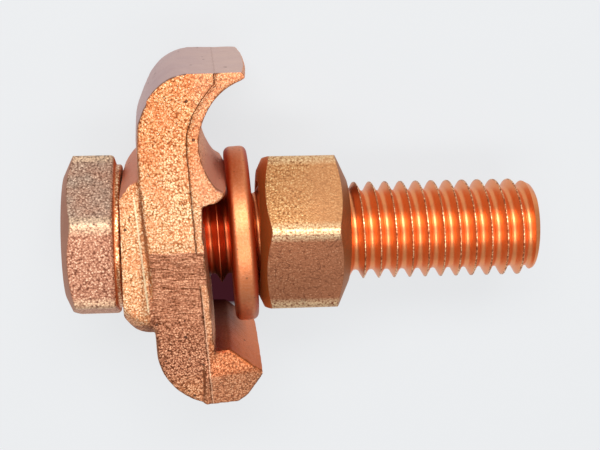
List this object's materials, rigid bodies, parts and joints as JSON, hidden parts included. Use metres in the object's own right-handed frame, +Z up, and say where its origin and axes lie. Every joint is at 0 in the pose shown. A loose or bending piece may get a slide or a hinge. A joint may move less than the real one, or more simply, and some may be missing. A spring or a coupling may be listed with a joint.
{
  "type": "bolted hook grounding clamp",
  "caption": "Cast copper-alloy hook clamp for a grounding cable, closed by a hex bolt with spring washer and nut.",
  "frame": {"origin": "middle of the overall box, on the surface that the part lies on", "axes": "+X along the bolt to its thread end, +Y from the heel to the hook, +Z up"},
  "size_m": [0.059, 0.042, 0.0221],
  "materials": {
    "cast_bronze": "blasted casting",
    "bronze_bolt": "bright thread, grained head",
    "bronze_washer": "satin",
    "bronze_nut": "grained flats, turned chamfers"
  },
  "bodies": {
    "clamp": {"clamp_body": "cast_bronze"},
    "bolt": {"hex_bolt": "bronze_bolt"},
    "washer": {"spring_washer": "bronze_washer"},
    "nut": {"hex_nut": "bronze_nut"}
  },
  "joints": [
    {"name": "bolt_spin", "type": "hinge", "parent": "clamp", "child": "bolt", "pos_m": [0, -0.00125, 0.01105], "axis": [1, 0, 0], "continuous": true},
    {"name": "washer_slide", "type": "slide", "parent": "bolt", "child": "washer", "axis": [1, 0, 0], "range_m": [-0.0003, 0.0331]},
    {"name": "nut_spin", "type": "hinge", "parent": "washer", "child": "nut", "pos_m": [0, -0.00125, 0.01105], "axis": [1, 0, 0], "range_deg": [-50, 5940]}
  ],
  "couplings": [
    {"joint": "washer_slide", "follows": "nut_spin", "m_per_rad": 0.00031831}
  ]
}
